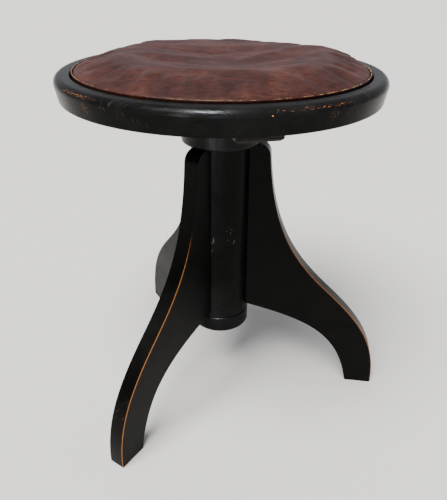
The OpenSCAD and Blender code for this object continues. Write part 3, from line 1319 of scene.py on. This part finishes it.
    def _inflate(self, piece: bpy.types.Object) -> None:
        """Let the leather swell as cloth, held at its edge and underside.

        Args:
            piece: the crown.
        """
        rest = [vertex.co.copy() for vertex in piece.data.vertices]
        held = piece.vertex_groups.new(name="held")
        for vertex in piece.data.vertices:
            reach = math.hypot(vertex.co.x, vertex.co.y)
            if vertex.co.z < self.edge - self.held_below or reach > self.radius - self.held_edge:
                held.add([vertex.index], 1.0, "REPLACE")
        Bench.hold(piece)
        cloth = piece.modifiers.new("swelling", "CLOTH")
        cloth.settings.quality = 6
        cloth.settings.mass = self.mass
        cloth.settings.use_pressure = True
        cloth.settings.uniform_pressure_force = self.pressure
        cloth.settings.shrink_min = -self.slack
        cloth.settings.effector_weights.gravity = 0.0
        cloth.settings.vertex_group_mass = held.name
        cloth.collision_settings.use_collision = False
        for number in range(1, self.frames + 1):
            bpy.context.scene.frame_set(number)
        bpy.ops.object.modifier_apply(modifier=cloth.name)
        bpy.context.scene.frame_set(1)
        piece.vertex_groups.clear()
        for vertex, start in zip(piece.data.vertices, rest):
            move = vertex.co - start
            if move.length > self.swell_cap:
                vertex.co = start + move.normalized() * self.swell_cap

    def _sculpt(self, piece: bpy.types.Object) -> None:
        """Press the hollow, the swells and the folds into the crown.

        Args:
            piece: the crown.
        """
        count = len(piece.data.vertices)
        flat = np.empty(count * 3)
        piece.data.vertices.foreach_get("co", flat)
        points = flat.reshape(-1, 3)
        reach = np.hypot(points[:, 0], points[:, 1])
        upper = np.clip((points[:, 2] - (self.edge - 3 * MM)) / (2 * MM), 0, 1)
        inside = np.clip((self.radius - self.held_edge - reach) / self.fade, 0, 1)
        weight = upper * inside * inside * (3 - 2 * inside)
        plan = points[:, :2]
        lift = sum(mark.press(plan) for mark in (*self.swells, *self.folds)) + self._creases(plan)
        near_edge = upper * np.clip((self.radius - 1.5 * MM - reach) / (9 * MM), 0, 1)
        points[:, 2] += weight * lift + near_edge * sum(swell.press(plan) for swell in self.shoulders)
        piece.data.vertices.foreach_set("co", points.ravel())
        piece.data.update()

    @staticmethod
    def _creases(points: np.ndarray) -> np.ndarray:
        """Small uneven creases that run across the hollow.

        Args:
            points: points seen from above, one a row.

        Returns:
            The rise at each point.
        """
        rise = np.empty(len(points))
        for index, (x, y) in enumerate(points):
            long = noise.noise(Vector((x * 16, y * 42 + x * 9, 0.3)))
            short = noise.noise(Vector((x * 30, y * 30, 4)))
            rise[index] = (1.1 * long + 0.7 * short) * MM
        return rise

    def _skirt(self, hide: bpy.types.Material) -> None:
        """The leather's side, turned under the board, with the pinched line on top.

        Args:
            hide: its leather.
        """
        rim, bend = self.radius, self.skin
        inner = rim - self.hem_reach
        side = [(inner, self.hem), (rim - bend, self.hem)]
        side += arc_points((rim - bend, self.hem + bend), bend, -60, 0, 4)
        side += [(rim - 0.25 * MM, self.edge - 3.2 * self.welt)]
        side += arc_points((rim - self.welt, self.edge - self.welt), self.welt, -20, 200, 9)
        side += [(rim - bend, self.edge - 3 * self.welt), (rim - bend, self.hem + bend),
                 (inner, self.hem + bend * 0.9)]
        piece = turned("pad_skirt", side)
        Bench.shade(piece, 60)
        dress(piece, hide)
        place(piece, Body.SEAT, Slot.LEATHER)


def rounded_line(line: Sequence[Flat], steps: int = 8) -> np.ndarray:
    """A smooth curve through a few points.

    Args:
        line: the points.
        steps: pieces between two points.

    Returns:
        The curve's points, one a row.
    """
    ends = [line[0], *line, line[-1]]
    made = []
    for a, b, c, d in zip(ends, ends[1:], ends[2:], ends[3:]):
        pa, pb, pc, pd = (np.array(p) for p in (a, b, c, d))
        for step in range(steps):
            t = step / steps
            made.append(0.5 * (2 * pb + (pc - pa) * t + (2 * pa - 5 * pb + 4 * pc - pd) * t * t
                               + (3 * pb - pa - 3 * pc + pd) * t ** 3))
    return np.array([*made, np.array(line[-1])])


def distance_to_line(points: np.ndarray, line: np.ndarray) -> tuple[np.ndarray, np.ndarray]:
    """How far points are from a line, and how far along it they lie.

    Args:
        points: the points, one a row.
        line: the line's points.

    Returns:
        The distances, and the shares of the line's length from 0 to 1.
    """
    best = np.full(len(points), 1e9)
    share = np.zeros(len(points))
    pieces = len(line) - 1
    for index, (a, b) in enumerate(zip(line[:-1], line[1:])):
        run = b - a
        t = np.clip(((points - a) @ run) / max(run @ run, 1e-12), 0, 1)
        off = np.hypot(*(points - a - t[:, None] * run).T)
        closer = off < best
        best[closer] = off[closer]
        share[closer] = (index + t[closer]) / pieces
    return best, share


def arc_points(centre: Flat, radius: float, start: float, end: float, steps: int) -> list[Flat]:
    """Points on an arc of an outline.

    Args:
        centre: the arc's centre.
        radius: its radius.
        start: its first angle, in degrees from the outward direction.
        end: its last angle.
        steps: pieces that it is cut into.

    Returns:
        The points.
    """
    turns = [math.radians(start + (end - start) * i / steps) for i in range(steps + 1)]
    return [(centre[0] + radius * math.cos(t), centre[1] + radius * math.sin(t)) for t in turns]


def turned(name: str, outline: Sequence[Flat], around: int = 192) -> bpy.types.Object:
    """Turn a closed outline round the stool's axis, ring by ring.

    Args:
        name: the piece's name.
        outline: distance from the axis and height of each of its points.
        around: faces round the axis.

    Returns:
        The piece.
    """
    Bench.clear()
    bpy.ops.mesh.primitive_circle_add(vertices=around, radius=outline[0][0], fill_type="NOTHING",
                                      location=(0, 0, outline[0][1]))
    piece = Bench.added(name)
    Bench.settle(piece)
    Bench.edit()
    Bench.whole()
    closed = [*outline, outline[0]]
    for (r0, z0), (r1, z1) in zip(closed, closed[1:]):
        bpy.ops.mesh.extrude_region_move()
        bpy.ops.transform.resize(value=(r1 / r0, r1 / r0, 1), center_override=(0, 0, z0))
        bpy.ops.transform.translate(value=(0, 0, z1 - z0))
    Bench.whole()
    bpy.ops.mesh.remove_doubles(threshold=2 * MERGED)
    bpy.ops.mesh.normals_make_consistent(inside=False)
    Bench.done()
    return piece


# ---- studio --------------------------------------------------------------------------


@dataclass(frozen=True)
class Lamp:
    """A soft rectangular light that falls on chosen pieces only.

    Attributes:
        name: the light's name.
        place: where it hangs.
        target: the point that it faces.
        size: its width and height.
        power: its power in watts.
        colour: its colour.
    """

    name: str
    place: Point
    target: Point
    size: Flat
    power: float
    colour: tuple[float, float, float]

    def build(self, lit: bpy.types.Collection) -> None:
        """Hang the light.

        Args:
            lit: what the light falls on.
        """
        data = bpy.data.lights.new(self.name, "AREA")
        data.shape = "RECTANGLE"
        data.size, data.size_y = self.size
        data.energy = self.power
        data.color = self.colour
        lamp = bpy.data.objects.new(self.name, data)
        lamp.location = self.place
        lamp.rotation_euler = (Vector(self.target) - Vector(self.place)).to_track_quat("-Z", "Y").to_euler()
        bpy.context.scene.collection.objects.link(lamp)
        lamp.light_linking.receiver_collection = lit


@dataclass
class Studio:
    """A pale floor, soft light and the camera.

    Attributes:
        eye: the camera's place.
        pitch: how far it looks down, in degrees.
        yaw: how far it is turned to +X.
        roll: how far it is tilted.
        lens: its focal length in millimetres.
        sensor: the sensor's width in millimetres.
        sun_power: strength of the wide light from above.
        sun_spread: how wide it is, in degrees.
        sun_way: the direction in which it falls.
        lamps: lights that draw the highlights on the turned pieces.
    """

    TURNED: ClassVar[tuple[str, ...]] = ("turned_column", "turned_cap", "turned_seat")
    FLOOR: ClassVar[Colour] = (0.80, 0.78, 0.74, 1)
    FRONT_SKY: ClassVar[Colour] = (0.05, 0.052, 0.058, 1)
    BACK_SKY: ClassVar[Colour] = (0.60, 0.61, 0.66, 1)

    eye: Point = (0.0, -0.6339, 0.5639)
    pitch: float = 29.43
    yaw: float = 0.375
    roll: float = 0.56
    lens: float = 37.25
    sensor: float = 36.0
    sun_power: float = 6.2
    sun_spread: float = 42.0
    sun_way: Point = (0.30, 0.42, -1.0)
    lamps: tuple[Lamp, ...] = (
        Lamp("window", (-0.30, -1.15, 2.30), (0, 0, 0.45), (0.50, 0.16), 380.0, (0.86, 0.93, 1.0)),
        Lamp("door", (-0.10, -2.60, 0.60), (0, 0, 0.3), (0.10, 1.2), 22.0, (0.76, 0.88, 1.0)),
        Lamp("passage", (-0.95, -2.00, 0.60), (0, 0, 0.3), (0.30, 1.2), 34.0, (1.0, 0.98, 0.94)),
    )

    def build(self) -> None:
        """Set up the studio."""
        self._floor()
        self._sky()
        self._daylight()
        lit = bpy.data.collections.new("turned_pieces")
        for name in self.TURNED:
            lit.objects.link(bpy.data.objects[name])
        for lamp in self.lamps:
            lamp.build(lit)
        self._camera()

    def _floor(self) -> None:
        """A plain pale floor."""
        Bench.clear()
        bpy.ops.mesh.primitive_plane_add(size=40, location=(0, 0, 0))
        floor = Bench.added("floor")
        material, g, shader = new_material("pale_floor", (0.6, 0.6, 0.58, 1))
        g.feed(shader, Base_Color=self.FLOOR, Roughness=0.9, Specular_IOR_Level=0.2)
        dress(floor, material)

    def _daylight(self) -> None:
        """Wide soft light from above."""
        data = bpy.data.lights.new("daylight", "SUN")
        data.energy = self.sun_power
        data.angle = math.radians(self.sun_spread)
        lamp = bpy.data.objects.new("daylight", data)
        lamp.rotation_euler = Vector(self.sun_way).to_track_quat("-Z", "Y").to_euler()
        bpy.context.scene.collection.objects.link(lamp)

    def _sky(self) -> None:
        """Soft light from all round, dimmer from the front."""
        world = bpy.data.worlds.new("soft_room")
        world.use_nodes = True
        bpy.context.scene.world = world
        g = Graph(world.node_tree)
        towards_back = g.parts(g.add("TexCoord").outputs["Generated"])[1]
        colour = g.mix(g.span(towards_back, -0.35, 0.5), self.FRONT_SKY, self.BACK_SKY)
        g.feed(world.node_tree.nodes["Background"], Color=colour, Strength=1.0)

    def _camera(self) -> None:
        """The camera at its place."""
        yaw, pitch, roll = (math.radians(a) for a in (self.yaw, self.pitch, self.roll))
        ahead = Vector((math.sin(yaw) * math.cos(pitch), math.cos(yaw) * math.cos(pitch), -math.sin(pitch)))
        right = ahead.cross(Vector((0, 0, 1))).normalized()
        up = right.cross(ahead)
        tilted = right * math.cos(roll) + up * math.sin(roll)
        raised = up * math.cos(roll) - right * math.sin(roll)
        data = bpy.data.cameras.new("camera")
        data.sensor_width = self.sensor
        data.lens = self.lens
        camera = bpy.data.objects.new("camera", data)
        turn = Matrix((tilted, raised, -ahead)).transposed()
        camera.matrix_world = Matrix.Translation(self.eye) @ turn.to_4x4()
        bpy.context.scene.collection.objects.link(camera)
        bpy.context.scene.camera = camera


def main() -> None:
    """Build the stool and the studio."""
    logging.basicConfig(level=logging.INFO, format="%(name)s: %(message)s")
    Effects.build()
    Stand().build()
    Lift().build()
    Seat().build()
    Pad().build()
    Studio().build()


if __name__ == "__main__":
    main()
